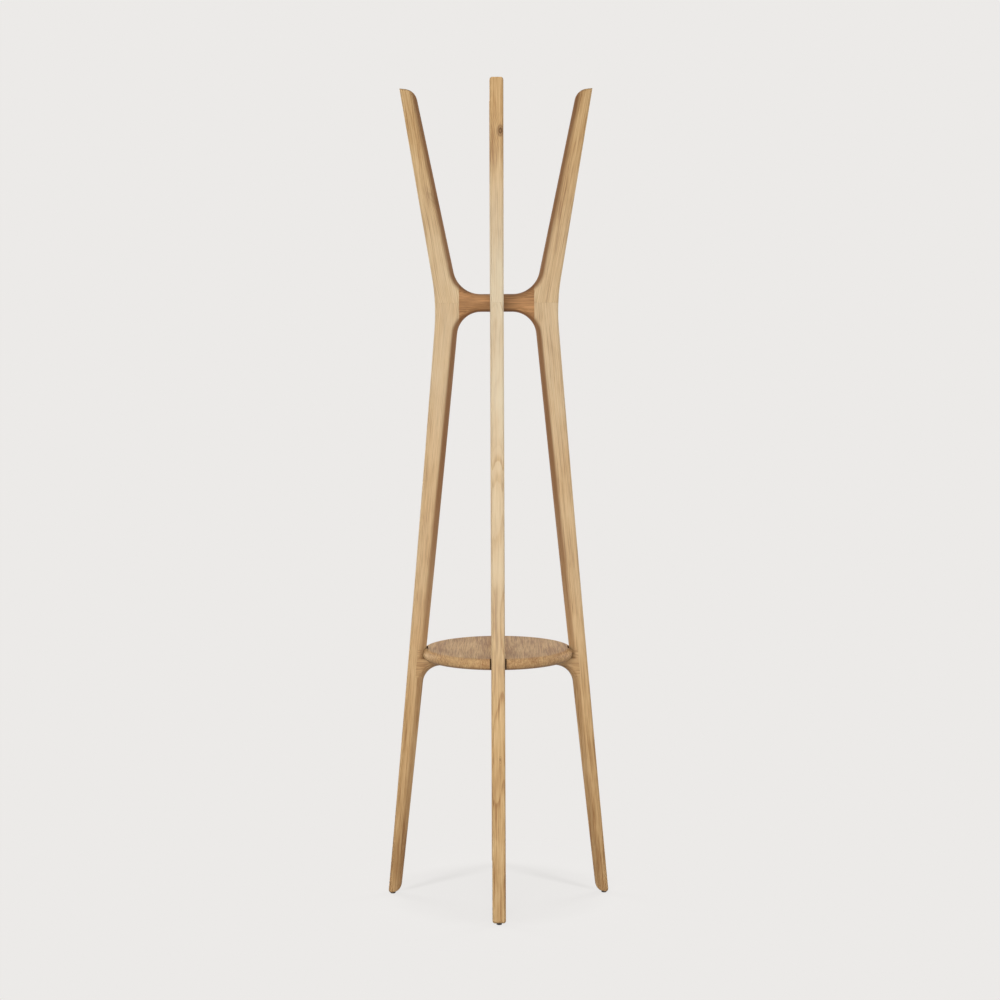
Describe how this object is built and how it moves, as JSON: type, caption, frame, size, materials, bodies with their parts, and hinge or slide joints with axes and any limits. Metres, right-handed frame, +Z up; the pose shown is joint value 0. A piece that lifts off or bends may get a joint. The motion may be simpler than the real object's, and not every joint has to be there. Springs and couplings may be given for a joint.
{
  "type": "standing coat rack",
  "caption": "Free-standing solid oak coat rack: bent posts spread to feet below and open arms above, joined at a narrow waist and round a notched disc shelf.",
  "frame": {"origin": "on the floor, on the central axis, at the middle of the four glides", "axes": "+Z up; +X to the right post, -Y to the front post"},
  "size_m": [0.4704, 0.4704, 1.7],
  "materials": {
    "oak": "solid oak, straight grain along each piece, thin matt oil",
    "shelf_oak": "solid oak staves glued edge to edge, grain from front to back, thin matt oil",
    "beech": "turned beech dowel, unfinished",
    "zinc_steel": "zinc plated steel screw",
    "black_plastic": "matt black moulded plastic glide"
  },
  "bodies": {
    "root": {"leg_right": "oak", "arm_right": "oak", "glide_right": "black_plastic", "waist_dowel_right": "beech", "hub_dowel_lower_right": "beech", "hub_dowel_upper_right": "beech", "bearer_dowel_lower_right": "beech", "bearer_dowel_upper_right": "beech", "shelf_screw_right": "zinc_steel", "leg_back": "oak", "arm_back": "oak", "glide_back": "black_plastic", "waist_dowel_back": "beech", "hub_dowel_lower_back": "beech", "hub_dowel_upper_back": "beech", "bearer_dowel_lower_back": "beech", "bearer_dowel_upper_back": "beech", "shelf_screw_back": "zinc_steel", "leg_left": "oak", "arm_left": "oak", "glide_left": "black_plastic", "waist_dowel_left": "beech", "hub_dowel_lower_left": "beech", "hub_dowel_upper_left": "beech", "bearer_dowel_lower_left": "beech", "bearer_dowel_upper_left": "beech", "shelf_screw_left": "zinc_steel", "leg_front": "oak", "arm_front": "oak", "glide_front": "black_plastic", "waist_dowel_front": "beech", "hub_dowel_lower_front": "beech", "hub_dowel_upper_front": "beech", "bearer_dowel_lower_front": "beech", "bearer_dowel_upper_front": "beech", "shelf_screw_front": "zinc_steel", "hub_rail_left_right": "oak", "hub_rail_front_back": "oak", "bearer_rail_left_right": "oak", "bearer_rail_front_back": "oak", "shelf_stave_1": "shelf_oak", "shelf_stave_2": "shelf_oak", "shelf_stave_3": "shelf_oak", "shelf_stave_4": "shelf_oak", "shelf_stave_5": "shelf_oak"}
  },
  "joints": []
}
